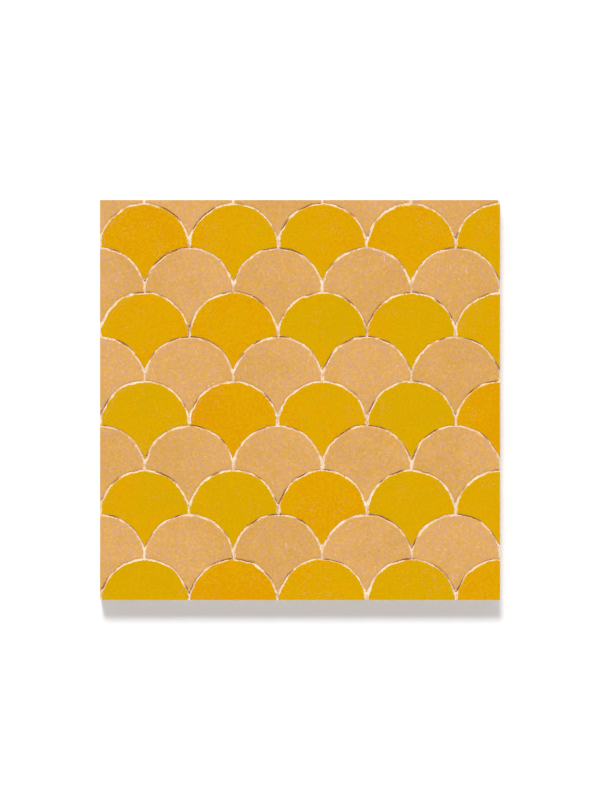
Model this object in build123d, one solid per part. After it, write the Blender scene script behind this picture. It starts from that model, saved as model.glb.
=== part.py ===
from build123d import *
import math
import os
import random

# A square panel of hand-cut fish-scale mosaic, lying on its back with its face up.
# Rows of yellow glazed chips alternate with rows of natural clay chips. The domes point to +Y.
# Each row is half a chip out of step with the next, and the border is sawn straight through the chips.
# One casting of pale grout backs all the chips and fills the joints between them.
# The origin is at the middle of the underside. All lengths are in millimetres.

# Driving dimensions
PANEL_WIDTH = 300.0        # along X, across the rows
CHIP_COUNT = 4.5           # chips in that width
ROW_COUNT = 9              # rows of domes along Y, each half a chip below the last
BED_THICKNESS = 7.0        # grout under the chips
CHIP_THICKNESS = 11.0
CHIP_JOINT = 0.6           # grout line between a dome and the flanks round it, at their widest level
SHOULDER_JOINT = 1.8       # grout between the nipped shoulders of two chips of a row
TAIL_TIP = 2.6             # width of the blunt end of a chip's tail
JOINT_RECESS = 0.35        # from the chips' faces down to the grout
RIM_WIDTH = 0.3            # worn edge round a chip's face, seen from above
RIM_DEPTH = 0.4            # worn edge, seen from the side
UNDERCUT_ANGLE = 4.0       # degrees that the chiselled sides lean in towards the back
TOP_MARGIN = 3.0           # from the panel's upper edge down to the first row of glazed domes

# How far a chip laid by hand strays from its true place
SHIFT_SHARE = 0.2          # of the joint, along X and along Y
TURN_ANGLE = 0.2           # degrees, in the plane of the panel
TILT_ANGLE = 0.2           # degrees, out of the plane of the panel
LAYING = 11                # number that picks one laying out of many

# Sizes that follow
PITCH = PANEL_WIDTH / CHIP_COUNT           # from chip to chip along a row
ROW_PITCH = PITCH / 2                      # from row to row
PANEL_LENGTH = ROW_COUNT * ROW_PITCH
CHIP_WIDTH = PITCH - SHOULDER_JOINT        # whole chip, from shoulder to shoulder
DOME_RADIUS = (PITCH - CHIP_JOINT) / 2
FLANK_RADIUS = DOME_RADIUS + CHIP_JOINT    # a flank stays one joint clear of the dome beside it
FLANK_RISE = math.sqrt(FLANK_RADIUS ** 2 - (ROW_PITCH - TAIL_TIP / 2) ** 2)
TAIL_LENGTH = ROW_PITCH - FLANK_RISE       # from the shoulders down to where the tail is as wide as its tip
FACE_LEVEL = BED_THICKNESS + CHIP_THICKNESS
GROUT_LEVEL = FACE_LEVEL - JOINT_RECESS


def plug(face_radius, back_radius):
    """Round plug as thick as a chip, with its face at Z 0."""
    face_up = (Align.CENTER, Align.CENTER, Align.MAX)
    return Cone(back_radius, face_radius, CHIP_THICKNESS, align=face_up)


def make_chip():
    """Whole fish scale with its face at Z 0: a dome, and the tail left between two domes of the next row.

    The chiselled sides lean in towards the back. The shoulders and the tip of the tail are nipped off
    straight, and the rim of the face is worn.
    """
    lean = CHIP_THICKNESS * math.tan(math.radians(UNDERCUT_ANGLE))
    chip = plug(DOME_RADIUS, DOME_RADIUS - lean)
    flank_cutter = plug(FLANK_RADIUS, FLANK_RADIUS + lean)
    for side in (-1, 1):
        chip -= Pos(side * ROW_PITCH, -ROW_PITCH) * flank_cutter
    nipped_face = Pos(0, -TAIL_LENGTH) * Rectangle(CHIP_WIDTH, 2 * PITCH, align=(Align.CENTER, Align.MIN))
    chip &= extrude(nipped_face, -CHIP_THICKNESS, taper=UNDERCUT_ANGLE)
    face = chip.faces().sort_by(Axis.Z)[-1]
    return chamfer(face.edges(), RIM_WIDTH, RIM_DEPTH, reference=face)


def row_places():
    """Row by row from the top: whether the row is glazed, and the centres of its domes.

    Above the rows that show their domes is one more row, of which only the tails show.
    """
    first_glazed_y = PANEL_LENGTH / 2 - TOP_MARGIN - DOME_RADIUS
    for row in range(ROW_COUNT + 1):
        glazed = row % 2 == 1
        y = first_glazed_y - (row - 1) * ROW_PITCH
        first_x = -PANEL_WIDTH / 2 + (PITCH / 2 if glazed else 0)
        yield glazed, [(first_x + column * PITCH, y) for column in range(math.ceil(CHIP_COUNT))]


def hand_laid(hand, x, y):
    """Place of a chip, with the small errors of laying by hand."""
    shift = SHIFT_SHARE * CHIP_JOINT
    place = (x + shift * hand.uniform(-1, 1), y + shift * hand.uniform(-1, 1), FACE_LEVEL)
    tilts = [TILT_ANGLE * hand.uniform(-1, 1) for axis in "XY"]
    return Location(place, (*tilts, TURN_ANGLE * hand.uniform(-1, 1)))


def lay_chips():
    """Every chip of the panel by name, trimmed flush with the sawn border."""
    border = Box(PANEL_WIDTH, PANEL_LENGTH, 4 * FACE_LEVEL)
    hand = random.Random(LAYING)
    chip = make_chip()
    laid = {}
    for row, (glazed, places) in enumerate(row_places(), start=1):
        kind = "yellow_scale" if glazed else "natural_scale"
        for column, (x, y) in enumerate(places, start=1):
            laid[f"{kind}_r{row:02d}_{column}"] = (hand_laid(hand, x, y) * chip) & border
    return laid


def make_grout_bed(chips):
    """Grout cast round the chips, up to the level of the joints."""
    from_the_floor = (Align.CENTER, Align.CENTER, Align.MIN)
    return Box(PANEL_WIDTH, PANEL_LENGTH, GROUT_LEVEL, align=from_the_floor) - chips


def main():
    chips = lay_chips()
    pieces = {"grout_bed": make_grout_bed(list(chips.values())), **chips}
    os.makedirs("parts", exist_ok=True)
    for name, piece in pieces.items():
        export_step(piece, f"parts/{name}.step")


main()
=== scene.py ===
import math
import random

import bpy
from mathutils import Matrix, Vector
from mathutils.kdtree import KDTree


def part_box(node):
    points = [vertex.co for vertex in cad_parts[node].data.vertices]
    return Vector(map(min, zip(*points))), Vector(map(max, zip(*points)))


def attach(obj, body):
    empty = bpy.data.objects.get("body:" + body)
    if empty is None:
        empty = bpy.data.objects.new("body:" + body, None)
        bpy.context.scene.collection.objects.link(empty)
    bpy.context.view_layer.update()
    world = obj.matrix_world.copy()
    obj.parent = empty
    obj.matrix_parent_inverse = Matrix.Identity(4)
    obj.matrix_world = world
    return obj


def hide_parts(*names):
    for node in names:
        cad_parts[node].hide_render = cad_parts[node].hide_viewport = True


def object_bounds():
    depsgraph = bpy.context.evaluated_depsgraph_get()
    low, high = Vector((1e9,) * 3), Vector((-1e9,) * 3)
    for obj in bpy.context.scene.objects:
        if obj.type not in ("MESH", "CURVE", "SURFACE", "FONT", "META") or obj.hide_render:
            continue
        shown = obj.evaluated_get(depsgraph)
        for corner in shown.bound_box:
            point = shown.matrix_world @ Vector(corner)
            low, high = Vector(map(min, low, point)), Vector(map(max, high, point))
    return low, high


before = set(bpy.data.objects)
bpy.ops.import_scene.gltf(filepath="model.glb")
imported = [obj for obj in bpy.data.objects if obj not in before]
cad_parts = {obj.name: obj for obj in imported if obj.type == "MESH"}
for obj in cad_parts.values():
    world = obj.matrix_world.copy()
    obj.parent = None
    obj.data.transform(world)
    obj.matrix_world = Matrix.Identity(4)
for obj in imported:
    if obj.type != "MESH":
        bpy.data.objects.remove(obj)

# A square panel of hand-cut fish-scale mosaic, seen from straight above.
# Each chip is a copy of its CAD node that is meshed finely, warped, flaked at its rim
# and sawn at the border.
# The grout is a sandy slab from which the finished chips are cut.

CAD_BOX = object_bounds()
LOW, HIGH = CAD_BOX
MM = 0.001

# Chips
CLAY_GRAIN = 0.65 * MM        # mesh size of a chip's face
CAP_DEPTH = 1.1 * MM          # finely meshed part of a chip, below its face
BACK_SHARE = 0.977            # size of a chip's back, as a share of its face
STRAY = 1.3 * MM              # how far neighbours' hand-cut outlines stray together, from end to end
MISFIT = 0.26 * MM            # how far the glazed or the natural outlines stray on their own
WAVE = 0.2 * MM               # how uneven a face is
FLAKE = 0.35 * MM             # depth of the flakes that are broken off a rim
TOP_WEAR_AND_HIGHLIGHT = 0.4                # millimetres of a dome's rim that are painted pale, at its top: glaze worn to the clay, and a painted highlight where the dome faces the light
SIDE_WEAR = 0.1               # more of it at the shoulders
LEFT_HIGHLIGHT = 0.2               # painted highlight: more of the pale rim on the lit left side, and less on the right
FLANK_WEAR = 0.05             # the same for a flank or the tip of a tail
TAIL_TIP = 1.6 * MM           # part of a tail that is drawn out
TAIL_DRAW = 1.5 * MM          # how far it is drawn out between the domes of the next row
TAIL_PINCH = 0.4              # width that is left of it, as a share
SHOULDER_SPREAD = 0.3 * MM    # how far the shoulders are spread towards their neighbours
SAW_SPARE = 3.0 * MM          # clay beyond the border, which the saw takes off
TOUCH = 0.01 * MM             # nearer than this, things touch
CUT_TOLERANCE = 0.0001 * MM
FACE_TOP = 18.0 * MM          # level that the chips' faces are laid to
GLAZE_DEPTH = 0.4 * MM        # thickness of the glaze, as the sawn border shows it
GLAZE_EDGE = 0.05 * MM        # how softly the glaze ends there
FACE_SLOPE = 0.85             # a normal that rises more than this is on the face, and else on the rim
DOME_END = -0.2               # a rim that faces +Y by more than this is the dome's
CREASE_ANGLE = math.radians(50)

# Size of the noise that warps the chips, along X and along Y where there are two
STRAY_SIZES = (13.0 * MM, 11.0 * MM)
MISFIT_SIZES = {"yellow": (6.0 * MM, 7.0 * MM), "natural": (9.0 * MM, 8.0 * MM)}
WAVE_SIZE = 14.0 * MM
FLAKE_SIZE = 2.5 * MM

# Grout
SAND_STEP = 0.9 * MM          # mesh size of the grout's surface
SAND_HEIGHT = 0.2 * MM        # how rough the grout's surface is
SAND_SIZE = 1.4 * MM          # how far apart its bumps are
HOLLOW = 1.8 * MM             # how deep the grout sinks where it was washed out
HOLLOW_SIZE = 13.0 * MM       # how wide those places are
CUTTER_GROWTH = 1.0003        # the chips cut their pockets a hair wide, clear of the border
GROUT_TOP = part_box("grout_bed")[1].z

# Glaze of each yellow chip, row by row: A is amber, G is gold and L is lemon
TINTS = {"A": 0.1, "G": 0.5, "L": 0.85}
GLAZES = {"r02": "AGGGG", "r04": "GGLLL", "r06": "LAGLA", "r08": "LLALL", "r10": "LAGLA"}
TINT_SPREAD = 0.35            # how far the tint strays at the left, at the right and in the tail
TAIL_TINT = 0.9               # share of the tail's own tint at its tip
TAIL_FADE = 1.6               # how fast that share falls towards the dome
HAND = 5                      # number that picks one set of tints out of many

# Glazed chips with a second, fainter line inside the left of the dome: a painted highlight, where the
# glaze's rolled edge catches the light
HIGHLIGHT_LINED = ("r02_1", "r04_1", "r04_5", "r06_1", "r06_2")
LINE_START = (2.3, 2.7)       # millimetres from the rim between which the line fades in
LINE_END = (3.1, 3.5)         # and between which it fades out

# Scratches in the clay: the direction in radians, and the seed
SCRATCHES = ((0.5, 15), (1.9, 16))
SCRATCH_STRETCH = (1, 0.08, 1)

# Stage
FLOOR_SIZE = 8.0
FLOOR_GAP = 0.1 * MM          # between the floor and the panel
FLOOR_GREY = 0.85
FLOOR_ROUGHNESS = 0.9
FLOOR_GLOW = 0.2              # light of its own, as the camera and reflections see it
KEY_PLACE = (-0.4, 2.9, 3.3)
KEY_STRENGTH = 2.35
KEY_ANGLE = math.radians(15)  # how wide the light is, which softens its shadows
SKY_GREY = 0.6                # light from all round
CEILING_GREY = 0.02           # light from straight above, which the glaze would reflect
CEILING_START = 0.8           # rise at which the sky begins to darken
CEILING_END = 0.95            # rise from which it is as dark as the ceiling
CAMERA_HEIGHT = 3.333         # above the chips' faces
CAMERA_LENS = 200


def srgb(red, green, blue):
    """Linear colour from the values, 0 to 255, that a screen shows."""
    shares = [value / 255 for value in (red, green, blue)]
    return (*[s / 12.92 if s <= 0.04045 else ((s + 0.055) / 1.055) ** 2.4 for s in shares], 1.0)


def grey(share):
    return (share, share, share, 1.0)


# Colours
WHITE = grey(1.0)
AMBER = srgb(226, 158, 0)
GOLD = srgb(231, 171, 0)
LEMON = srgb(217, 168, 0)
GLAZE_SPECK = srgb(190, 120, 10)
# Pale clay of worn rims, also used as a painted highlight on the rims that face the light
BISCUIT_AND_HIGHLIGHT = srgb(250, 224, 190)
CLAY = srgb(227, 170, 90)
CLAY_OCHRE = srgb(224, 168, 48)
CLAY_PINK = srgb(217, 164, 131)
CLAY_PALE = srgb(240, 187, 106)
CLAY_GREY = srgb(196, 154, 108)
CLAY_SHADE = srgb(205, 150, 78)
CLAY_BODY = srgb(212, 158, 108)
CLAY_PORE = srgb(150, 100, 66)
GROUT_PALE = srgb(252, 230, 204)
GROUT_TAN = srgb(216, 170, 118)
GROUT_PORE = srgb(170, 130, 92)


# Tools
def select_only(piece):
    bpy.ops.object.select_all(action="DESELECT")
    piece.select_set(True)
    bpy.context.view_layer.objects.active = piece


def apply_modifier(piece, kind, **settings):
    """Adds one modifier, sets it and applies it."""
    select_only(piece)
    modifier = piece.modifiers.new(kind.lower(), kind)
    for key, value in settings.items():
        setattr(modifier, key, value)
    bpy.ops.object.modifier_apply(modifier=modifier.name)


def displace(piece, texture, direction, strength, mid_level=0.5, group=""):
    apply_modifier(piece, "DISPLACE", texture=texture, texture_coords="LOCAL", direction=direction,
                   strength=strength, mid_level=mid_level, vertex_group=group)


def cloud(name, size, depth=1, contrast=1.0, brightness=1.0):
    """Soft noise for a Displace modifier, with features of about that size."""
    texture = bpy.data.textures.new(name, "CLOUDS")
    texture.noise_scale = size
    texture.noise_depth = depth
    texture.contrast = contrast
    texture.intensity = brightness
    texture.use_clamp = True
    return texture


# Chips
def border_cuts(node, reach):
    """Where the border comes that near to a chip: the axis, the place along it and the way out."""
    low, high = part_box(node)
    cuts = [(axis, LOW[axis], -1) for axis in (0, 1) if low[axis] - LOW[axis] < reach]
    return cuts + [(axis, HIGH[axis], 1) for axis in (0, 1) if HIGH[axis] - high[axis] < reach]


def along(axis, length):
    vector = Vector((0, 0, 0))
    vector[axis] = length
    return vector


def edit_vertices(piece, wanted):
    """Enters edit mode with the vertices selected whose places are wanted."""
    bpy.ops.object.mode_set(mode="EDIT")
    bpy.ops.mesh.select_all(action="DESELECT")
    bpy.ops.object.mode_set(mode="OBJECT")
    for vertex in piece.data.vertices:
        vertex.select = wanted(vertex.co)
    bpy.ops.object.mode_set(mode="EDIT")


def draw_tail(blank, tip):
    """Draws the blunt tip of a tail out between two domes of the next row."""
    drawn = [vertex.co.x for vertex in blank.data.vertices if vertex.co.y < tip + TAIL_TIP]
    middle = (min(drawn) + max(drawn)) / 2
    edit_vertices(blank, lambda place: place.y < tip + TAIL_TIP)
    bpy.ops.transform.translate(value=along(1, -TAIL_DRAW))
    bpy.ops.transform.resize(value=(TAIL_PINCH, 1, 1), center_override=along(0, middle))
    bpy.ops.object.mode_set(mode="OBJECT")


def spread_shoulders(blank, low, high):
    """Moves the nipped ends of the shoulders out, where they are not on the border."""
    for side, place in ((-1, low.x), (1, high.x)):
        if HIGH.x - abs(place) > TOUCH:
            edit_vertices(blank, lambda point: abs(point.x - place) < SHOULDER_SPREAD)
            bpy.ops.transform.translate(value=along(0, side * SHOULDER_SPREAD))
            bpy.ops.object.mode_set(mode="OBJECT")


def rough_blank(node):
    """Merged copy of a CAD node, drawn closer to its neighbours, with spare clay beyond the border."""
    blank = bpy.data.objects.new(node.replace("scale", "chip"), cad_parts[node].data.copy())
    bpy.context.collection.objects.link(blank)
    select_only(blank)
    bpy.ops.object.mode_set(mode="EDIT")
    bpy.ops.mesh.select_all(action="SELECT")
    bpy.ops.mesh.remove_doubles(threshold=TOUCH)
    bpy.ops.object.mode_set(mode="OBJECT")
    for axis, place, outward in border_cuts(node, TOUCH):
        edit_vertices(blank, lambda point: abs(point[axis] - place) < TOUCH)
        bpy.ops.transform.translate(value=along(axis, outward * SAW_SPARE))
        bpy.ops.object.mode_set(mode="OBJECT")
    low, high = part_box(node)
    spread_shoulders(blank, low, high)
    if low.y - LOW.y > TOUCH:
        draw_tail(blank, low.y)
    return blank


def outside(point):
    return not (LOW.x <= point.x <= HIGH.x and LOW.y <= point.y <= HIGH.y)


def measure_rim(chip, rim, highlight_lined):
    """Stores what the paint of a rim needs to know at each point of a chip.

    rim_distance is how far the rim is, in millimetres; the width of rim that is painted pale there is
    stored too: glaze worn down to the clay, and a painted highlight that is wider on the domes and on
    their left sides, which face the light.
    The strength of a second, fainter line inside the left of a dome is stored too: a painted highlight of
    the glaze's rolled edge, on the side that faces the light.
    """
    tree = KDTree(len(rim))
    for index in rim:
        tree.insert(chip.data.vertices[index].co, index)
    tree.balance()
    names = ("rim_distance", "rim_wear_and_highlight", "highlight_lining")
    for name in names:
        chip.data.attributes.new(name, "FLOAT", "POINT")
    distances, pale_widths, highlight_linings = [chip.data.attributes[name].data for name in names]
    outwards = {index: chip.data.vertices[index].normal.copy() for index in rim}
    for vertex in chip.data.vertices:
        nearest, index, distance = tree.find(vertex.co)
        outward = outwards[index]
        on_dome = outward.y > DOME_END
        # Painted highlight: a dome's rim and its left side face the light, so they get a wider pale rim
        # than a flank
        dome_wear_and_highlight = TOP_WEAR_AND_HIGHLIGHT + SIDE_WEAR * abs(outward.x) - LEFT_HIGHLIGHT * outward.x
        distances[vertex.index].value = distance / MM
        pale_widths[vertex.index].value = dome_wear_and_highlight if on_dome else FLANK_WEAR
        # Painted highlight: strongest where the rim faces left, towards the light
        highlight_linings[vertex.index].value = max(-outward.x, 0.0) if highlight_lined and on_dome else 0.0


def tint_chip(chip, left, right, tail):
    """Stores the tint of the glaze or clay: from left to right, and down to the tail."""
    low = Vector(chip.bound_box[0])
    size = Vector(chip.bound_box[6]) - low
    tints = chip.data.attributes.new("tint", "FLOAT", "POINT")
    for vertex in chip.data.vertices:
        across = min(max((vertex.co.x - low.x) / size.x, 0.0), 1.0)
        down = min(max(TAIL_TINT - TAIL_FADE * (vertex.co.y - low.y) / size.y, 0.0), 1.0)
        dome = left + (right - left) * across
        tints.data[vertex.index].value = dome + (tail - dome) * down


def rub_flush(chip, axis, place, outward):
    """Flattens what strays over the border."""
    edit_vertices(chip, lambda point: (point[axis] - place) * outward > 0)
    flat = Vector((1, 1, 1)) - along(axis, 1)
    bpy.ops.transform.resize(value=flat, center_override=along(axis, place))
    bpy.ops.object.mode_set(mode="OBJECT")


def make_chip(node, strays, misfits, wave, flake):
    low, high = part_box(node)
    chip = rough_blank(node)
    apply_modifier(chip, "REMESH", mode="VOXEL", voxel_size=CLAY_GRAIN)

    # Keep the fine mesh for the face and the rim only
    cut_level = high.z - CAP_DEPTH
    bpy.ops.object.mode_set(mode="EDIT")
    bpy.ops.mesh.select_all(action="SELECT")
    bpy.ops.mesh.bisect(plane_co=(0, 0, cut_level), plane_no=(0, 0, 1), clear_inner=True,
                        threshold=CUT_TOLERANCE)
    bpy.ops.object.mode_set(mode="OBJECT")

    vertices = chip.data.vertices
    rim = [v.index for v in vertices if v.normal.z < FACE_SLOPE and not outside(v.co)]
    face = [v.index for v in vertices if v.normal.z > FACE_SLOPE]
    chip.vertex_groups.new(name="rim").add(rim, 1.0, "REPLACE")
    chip.vertex_groups.new(name="face").add(face, 1.0, "REPLACE")
    measure_rim(chip, rim, highlight_lined=node[-5:] in HIGHLIGHT_LINED)
    for axis, stray, misfit in zip("XY", strays, misfits):
        displace(chip, stray, axis, STRAY)
        displace(chip, misfit, axis, MISFIT)
    displace(chip, flake, "NORMAL", -FLAKE, mid_level=0.0, group="rim")
    displace(chip, wave, "Z", WAVE, mid_level=1.0, group="face")

    # Sides and back
    bpy.ops.object.mode_set(mode="EDIT")
    bpy.ops.mesh.select_all(action="DESELECT")
    bpy.ops.mesh.select_non_manifold()
    bpy.ops.mesh.extrude_edges_move(TRANSFORM_OT_translate={"value": (0, 0, low.z - cut_level)})
    bpy.ops.transform.resize(value=(BACK_SHARE, BACK_SHARE, 1), center_override=(low + high) / 2)
    bpy.ops.mesh.edge_face_add()
    bpy.ops.mesh.select_all(action="SELECT")
    bpy.ops.mesh.normals_make_consistent(inside=False)
    sawn = border_cuts(node, TOUCH)
    for axis, place, outward in sawn:
        bpy.ops.mesh.select_all(action="SELECT")
        bpy.ops.mesh.bisect(plane_co=along(axis, place), plane_no=along(axis, outward),
                            clear_outer=True, threshold=CUT_TOLERANCE)
        bpy.ops.mesh.select_all(action="DESELECT")
        bpy.ops.mesh.select_non_manifold()
        bpy.ops.mesh.fill_holes(sides=0)
    bpy.ops.object.mode_set(mode="OBJECT")
    for cut in border_cuts(node, STRAY):
        if cut not in sawn:
            rub_flush(chip, *cut)
    bpy.ops.object.shade_smooth_by_angle(angle=CREASE_ANGLE)
    return chip


def make_chips(glaze, clay):
    strays = [cloud("stray", size) for size in STRAY_SIZES]
    misfits = {kind: [cloud(kind + " misfit", size) for size in sizes]
               for kind, sizes in MISFIT_SIZES.items()}
    wave = cloud("wave", WAVE_SIZE)
    flake = cloud("flake", FLAKE_SIZE, contrast=3.0, brightness=0.3)
    hand = random.Random(HAND)
    chips = []
    for node in sorted(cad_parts):
        kind, row, column = node.split("_")[0], *node.split("_")[-2:]
        if kind not in misfits:
            continue
        chip = make_chip(node, strays, misfits[kind], wave, flake)
        if kind == "yellow":
            tint = TINTS[GLAZES[row][int(column) - 1]]
            tint_chip(chip, *[tint + hand.uniform(-TINT_SPREAD, TINT_SPREAD) for part in range(3)])
        else:
            tint_chip(chip, *[hand.random() for part in range(3)])
        chip.data.materials.clear()
        chip.data.materials.append(glaze if kind == "yellow" else clay)
        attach(chip, "root")
        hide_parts(node)
        chips.append(chip)
    return chips


# Grout
def make_grout(chips, material):
    side = HIGH.x - LOW.x
    steps = round(side / SAND_STEP)
    bpy.ops.object.select_all(action="DESELECT")
    bpy.ops.mesh.primitive_grid_add(x_subdivisions=steps, y_subdivisions=steps, size=side,
                                    location=(0, 0, GROUT_TOP))
    grout = bpy.context.object
    grout.name = "grout_cast"
    bpy.ops.object.transform_apply(location=True, rotation=False, scale=False)
    displace(grout, cloud("sand", SAND_SIZE, depth=2), "Z", SAND_HEIGHT, mid_level=1.0)
    hollows = cloud("hollows", HOLLOW_SIZE, contrast=4.0, brightness=0.45)
    displace(grout, hollows, "Z", -HOLLOW, mid_level=0.0)
    bpy.ops.object.mode_set(mode="EDIT")
    bpy.ops.mesh.select_all(action="DESELECT")
    bpy.ops.mesh.select_non_manifold()
    bpy.ops.mesh.extrude_edges_move(TRANSFORM_OT_translate={"value": (0, 0, 0)})
    bpy.ops.transform.resize(value=(1, 1, 0), center_override=(0, 0, LOW.z))
    bpy.ops.mesh.edge_face_add()
    bpy.ops.mesh.select_all(action="SELECT")
    bpy.ops.mesh.normals_make_consistent(inside=False)
    bpy.ops.object.mode_set(mode="OBJECT")

    # The chips cut their own pockets
    bpy.ops.object.select_all(action="DESELECT")
    for chip in chips:
        chip.select_set(True)
    bpy.context.view_layer.objects.active = chips[0]
    bpy.ops.object.duplicate()
    bpy.ops.object.join()
    cutter = bpy.context.object
    bpy.ops.transform.resize(value=(CUTTER_GROWTH, CUTTER_GROWTH, 1), center_override=(0, 0, 0))
    bpy.ops.object.transform_apply(location=True, rotation=True, scale=True)
    apply_modifier(grout, "BOOLEAN", operation="DIFFERENCE", solver="MANIFOLD", object=cutter)
    bpy.data.objects.remove(cutter)
    grout.data.materials.clear()
    grout.data.materials.append(material)
    bpy.ops.object.shade_smooth_by_angle(angle=CREASE_ANGLE)
    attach(grout, "root")
    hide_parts("grout_bed")


# Materials
class Finish:
    """A material built from nodes that read the piece's own coordinates and attributes."""

    def __init__(self, name):
        self.material = bpy.data.materials.new(name)
        self.material.use_nodes = True
        self.tree = self.material.node_tree
        self.shader = self.tree.nodes["Principled BSDF"]
        self.place = self.add("TexCoord", {}).outputs["Object"]

    def feed(self, socket, value):
        if isinstance(value, bpy.types.NodeSocket):
            self.tree.links.new(value, socket)
        else:
            socket.default_value = value

    def add(self, kind, inputs, **settings):
        node = self.tree.nodes.new("ShaderNode" + kind)
        for name, value in settings.items():
            setattr(node, name, value)
        for name, value in inputs.items():
            self.feed(node.inputs[name], value)
        return node

    def read(self, name):
        """Attribute of the piece."""
        return self.add("Attribute", {}, attribute_name=name).outputs["Fac"]

    def noise(self, size, seed, detail=2.0, vector=None):
        """Noise from 0 to 1 with features of about that size, in metres."""
        inputs = {"Vector": vector or self.place, "W": seed, "Scale": 1 / size, "Detail": detail}
        return self.add("TexNoise", inputs, noise_dimensions="4D").outputs["Fac"]

    def ease(self, value, start, end, low=0.0, high=1.0):
        """Low up to the start, high from the end, and a smooth rise between."""
        inputs = {"Value": value, "From Min": start, "From Max": end, "To Min": low, "To Max": high}
        return self.add("MapRange", inputs, interpolation_type="SMOOTHSTEP").outputs["Result"]

    def blotches(self, size, seed, start, end, low=0.0, high=1.0, **settings):
        """Blotches of about that size: noise that is eased."""
        return self.ease(self.noise(size, seed, **settings), start, end, low, high)

    def work(self, operation, first, second):
        return self.add("Math", {0: first, 1: second}, operation=operation).outputs["Value"]

    def sum(self, first, *others):
        for other in others:
            first = self.work("ADD", first, other)
        return first

    def times(self, first, second):
        return self.work("MULTIPLY", first, second)

    def paint(self, under, over, amount):
        """Colour with another laid over it."""
        mix = self.add("Mix", {0: amount, 6: under, 7: over}, data_type="RGBA")
        return mix.outputs[2]

    def ramp(self, value, *stops):
        node = self.add("ValToRGB", {"Fac": value})
        elements = node.color_ramp.elements
        while len(elements) < len(stops):
            elements.new(1.0)
        for element, (place, colour) in zip(elements, stops):
            element.position = place
            element.color = colour
        return node.outputs["Color"]

    def facing(self):
        """1 where a surface faces up, 0 on its sides."""
        normal = self.add("NewGeometry", {}).outputs["Normal"]
        return self.add("SeparateXYZ", {"Vector": normal}).outputs["Z"]

    def level(self):
        return self.add("SeparateXYZ", {"Vector": self.place}).outputs["Z"]

    def bump(self, height, depth):
        """Relief of that depth, in metres."""
        node = self.add("Bump", {"Height": height, "Distance": depth, "Strength": 1.0})
        self.feed(self.shader.inputs["Normal"], node.outputs["Normal"])

    def finish(self, colour, roughness, specular):
        self.feed(self.shader.inputs["Base Color"], colour)
        self.feed(self.shader.inputs["Roughness"], roughness)
        self.feed(self.shader.inputs["Specular IOR Level"], specular)
        return self.material


def clay_body(finish):
    """Bare fired clay, as the saw leaves it."""
    grains = finish.blotches(0.9 * MM, seed=31, start=0.3, end=0.7)
    colour = finish.paint(CLAY_BODY, CLAY_PINK, grains)
    pores = finish.blotches(0.8 * MM, seed=32, start=0.66, end=0.72, detail=0.0)
    return finish.paint(colour, CLAY_PORE, pores)


def worn_and_lit_rim(finish, seed):
    """1 where the rim is painted pale, along an uneven and ragged line: glaze worn down to pale clay, and
    a painted highlight along the rims that face the light.
    """
    share = finish.blotches(8 * MM, seed=seed, start=0.35, end=0.65, low=0.1, high=1.9)
    ragged = finish.blotches(1.4 * MM, seed=seed + 40, start=0.3, end=0.7, low=-0.25, high=0.25)
    pale_width = finish.sum(finish.times(finish.read("rim_wear_and_highlight"), share), ragged)
    spare = finish.work("SUBTRACT", finish.read("rim_distance"), pale_width)
    return finish.ease(spare, start=-0.3, end=-0.05, low=1.0, high=0.0)


def inner_highlight(finish):
    """Broken line of painted highlight, about 3 mm inside the left of some domes, where the glaze's
    rolled edge faces the light.
    """
    wander = finish.blotches(9 * MM, seed=8, start=0.2, end=0.8, low=-0.8, high=0.8)
    distance = finish.sum(finish.read("rim_distance"), wander)
    past_start = finish.ease(distance, *LINE_START)
    before_end = finish.ease(distance, *LINE_END, low=1.0, high=0.0)
    dots = finish.blotches(1.6 * MM, seed=9, start=0.45, end=0.6)
    return finish.times(finish.times(past_start, before_end), finish.times(finish.read("highlight_lining"), dots))


def yellow_glaze():
    finish = Finish("yellow_glaze")
    patches = finish.blotches(20 * MM, seed=1, start=0.3, end=0.7, low=-0.2, high=0.2)
    grain_noise = finish.noise(2.0 * MM, 2)
    grain = finish.ease(grain_noise, start=0.3, end=0.7, low=-0.7, high=0.7)
    tint = finish.sum(finish.read("tint"), patches, grain)
    colour = finish.ramp(tint, (0.0, AMBER), (0.5, GOLD), (1.0, LEMON))

    specks = finish.blotches(1.2 * MM, seed=3, start=0.74, end=0.8, detail=0.0)
    colour = finish.paint(colour, GLAZE_SPECK, finish.times(specks, 0.6))
    crowds = finish.blotches(13 * MM, seed=4, start=0.5, end=0.66)
    pits = finish.times(finish.blotches(1.4 * MM, seed=5, start=0.58, end=0.74, detail=1.0), crowds)
    colour = finish.paint(colour, CLAY_PINK, finish.times(pits, 0.4))
    # Painted highlight of the glaze's rolled edge, on the left of some domes
    colour = finish.paint(colour, CLAY_PINK, inner_highlight(finish))

    # Glaze is lost along the rim, which is also painted pale as a highlight where it faces the light, and
    # the sides are bare
    worn_and_lit = worn_and_lit_rim(finish, 6)
    colour = finish.paint(colour, BISCUIT_AND_HIGHLIGHT, worn_and_lit)
    sides = finish.ease(finish.facing(), start=0.2, end=0.5, low=1.0, high=0.0)
    glaze_foot = FACE_TOP - GLAZE_DEPTH
    under = finish.ease(finish.level(), glaze_foot, glaze_foot + GLAZE_EDGE, low=1.0, high=0.0)
    bare = finish.times(sides, under)
    colour = finish.paint(colour, clay_body(finish), bare)

    skin = finish.noise(7 * MM, 7)
    relief = finish.sum(finish.times(skin, 0.5), finish.times(pits, -1.0), finish.times(worn_and_lit, -0.6))
    finish.bump(relief, 0.06 * MM)
    matt = finish.work("MAXIMUM", worn_and_lit, bare)
    gloss = finish.ease(grain_noise, start=0.2, end=0.8, low=0.12, high=0.24)
    return finish.finish(colour, finish.sum(gloss, finish.times(matt, 0.5)), 0.3)


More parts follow.
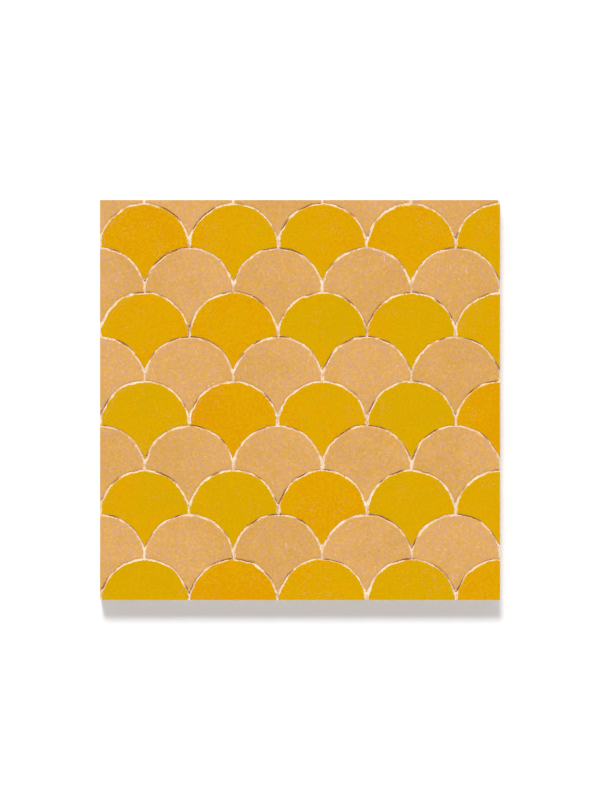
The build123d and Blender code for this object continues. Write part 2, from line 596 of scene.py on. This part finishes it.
def natural_clay():
    finish = Finish("natural_clay")
    mottle = finish.noise(1.9 * MM, 11)
    tone = finish.sum(finish.times(finish.read("tint"), 0.6), finish.noise(17 * MM, 13))
    colour = finish.paint(CLAY, CLAY_PINK, finish.ease(mottle, start=0.46, end=0.6))
    ochre = finish.blotches(2.1 * MM, seed=12, start=0.46, end=0.58)
    ochre_share = finish.ease(tone, start=0.4, end=1.2, low=1.0, high=0.35)
    colour = finish.paint(colour, CLAY_OCHRE, finish.times(ochre, ochre_share))
    pale = finish.blotches(1.7 * MM, seed=19, start=0.5, end=0.64)
    colour = finish.paint(colour, CLAY_PALE, finish.times(pale, 0.55))
    grains = finish.blotches(1.5 * MM, seed=18, start=0.58, end=0.74, detail=0.0)
    grain_share = finish.ease(tone, start=0.4, end=1.2, low=0.9, high=0.4)
    colour = finish.paint(colour, CLAY_GREY, finish.times(grains, grain_share))
    colour = finish.paint(colour, CLAY_SHADE, finish.ease(tone, start=0.45, end=1.15, low=0.32, high=0.0))

    white = finish.blotches(1.5 * MM, seed=14, start=0.84, end=0.87, detail=0.0)
    colour = finish.paint(colour, GROUT_PALE, white)
    for turn, seed in SCRATCHES:
        turned = {"Vector": finish.place, "Rotation": (0, 0, turn), "Scale": SCRATCH_STRETCH}
        streak = finish.add("Mapping", turned).outputs["Vector"]
        scratch = finish.blotches(0.7 * MM, seed, start=0.74, end=0.8, detail=0.0, vector=streak)
        rare = finish.blotches(11 * MM, seed=seed + 10, start=0.6, end=0.7)
        colour = finish.paint(colour, GROUT_PALE, finish.times(finish.times(scratch, rare), 0.5))

    # The rim is painted pale: clay worn pale, and a painted highlight where the rim faces the light
    worn_and_lit = worn_and_lit_rim(finish, 17)
    colour = finish.paint(colour, BISCUIT_AND_HIGHLIGHT, finish.times(worn_and_lit, 0.9))
    sides = finish.ease(finish.facing(), start=0.2, end=0.5, low=1.0, high=0.0)
    colour = finish.paint(colour, clay_body(finish), sides)
    finish.bump(finish.sum(mottle, finish.times(worn_and_lit, -0.6)), 0.12 * MM)
    return finish.finish(colour, finish.ease(mottle, start=0.2, end=0.8, low=0.6, high=0.85), 0.3)


def grout_finish():
    finish = Finish("grout")
    sand = finish.noise(0.5 * MM, 21, detail=3.0)
    stain = finish.blotches(5 * MM, seed=22, start=0.42, end=0.64, detail=3.0)
    stain_share = finish.ease(sand, start=0.2, end=0.6, low=0.4, high=0.8)
    colour = finish.paint(GROUT_PALE, GROUT_TAN, finish.times(stain, stain_share))
    pores = finish.blotches(1.3 * MM, seed=23, start=0.74, end=0.8, detail=0.0)
    colour = finish.paint(colour, GROUT_PORE, pores)
    finish.bump(finish.sum(sand, finish.times(pores, -1.0)), 0.2 * MM)
    return finish.finish(colour, finish.ease(sand, start=0.2, end=0.8, low=0.75, high=0.95), 0.25)


# Stage
def make_floor():
    bpy.ops.mesh.primitive_plane_add(size=FLOOR_SIZE, location=(0, 0, LOW.z - FLOOR_GAP))
    floor = bpy.context.object
    floor.name = "floor"
    finish = Finish("floor")
    finish.shader.inputs["Base Color"].default_value = grey(FLOOR_GREY)
    finish.shader.inputs["Roughness"].default_value = FLOOR_ROUGHNESS
    finish.shader.inputs["Specular IOR Level"].default_value = 0.0
    finish.shader.inputs["Emission Color"].default_value = WHITE
    rays = finish.add("LightPath", {}).outputs
    seen = finish.work("MAXIMUM", rays["Is Camera Ray"], rays["Is Glossy Ray"])
    seen = finish.work("MAXIMUM", seen, rays["Is Transmission Ray"])
    finish.feed(finish.shader.inputs["Emission Strength"], finish.times(seen, FLOOR_GLOW))
    floor.data.materials.append(finish.material)


def light_scene():
    bpy.ops.object.light_add(type="SUN", location=KEY_PLACE)
    key = bpy.context.object
    key.name = "key"
    key.data.energy = KEY_STRENGTH
    key.data.angle = KEY_ANGLE
    key.rotation_euler = (-key.location).to_track_quat("-Z", "Y").to_euler()

    world = bpy.data.worlds.new("studio")
    bpy.context.scene.world = world
    world.use_nodes = True
    nodes = world.node_tree.nodes
    links = world.node_tree.links
    background = nodes["Background"]
    direction = nodes.new("ShaderNodeTexCoord").outputs["Generated"]
    split = nodes.new("ShaderNodeSeparateXYZ")
    links.new(direction, split.inputs["Vector"])
    ceiling = nodes.new("ShaderNodeValToRGB")
    links.new(split.outputs["Z"], ceiling.inputs["Fac"])
    ceiling.color_ramp.elements[0].position = CEILING_START
    ceiling.color_ramp.elements[0].color = grey(SKY_GREY)
    ceiling.color_ramp.elements[1].position = CEILING_END
    ceiling.color_ramp.elements[1].color = grey(CEILING_GREY)
    backdrop = nodes.new("ShaderNodeMix")
    backdrop.data_type = "RGBA"
    links.new(nodes.new("ShaderNodeLightPath").outputs["Is Camera Ray"], backdrop.inputs[0])
    links.new(ceiling.outputs["Color"], backdrop.inputs[6])
    backdrop.inputs[7].default_value = WHITE
    links.new(backdrop.outputs[2], background.inputs["Color"])
    background.inputs["Strength"].default_value = 1.0


def place_camera():
    """Straight above the middle, so that the panel fills two thirds of the picture's width."""
    bpy.ops.object.camera_add(location=(0, 0, CAMERA_HEIGHT + FACE_TOP), rotation=(0, 0, 0))
    camera = bpy.context.object
    camera.data.lens = CAMERA_LENS
    bpy.context.scene.camera = camera
    bpy.context.scene.view_settings.view_transform = "Standard"


def main():
    chips = make_chips(yellow_glaze(), natural_clay())
    make_grout(chips, grout_finish())
    make_floor()
    light_scene()
    place_camera()


main()
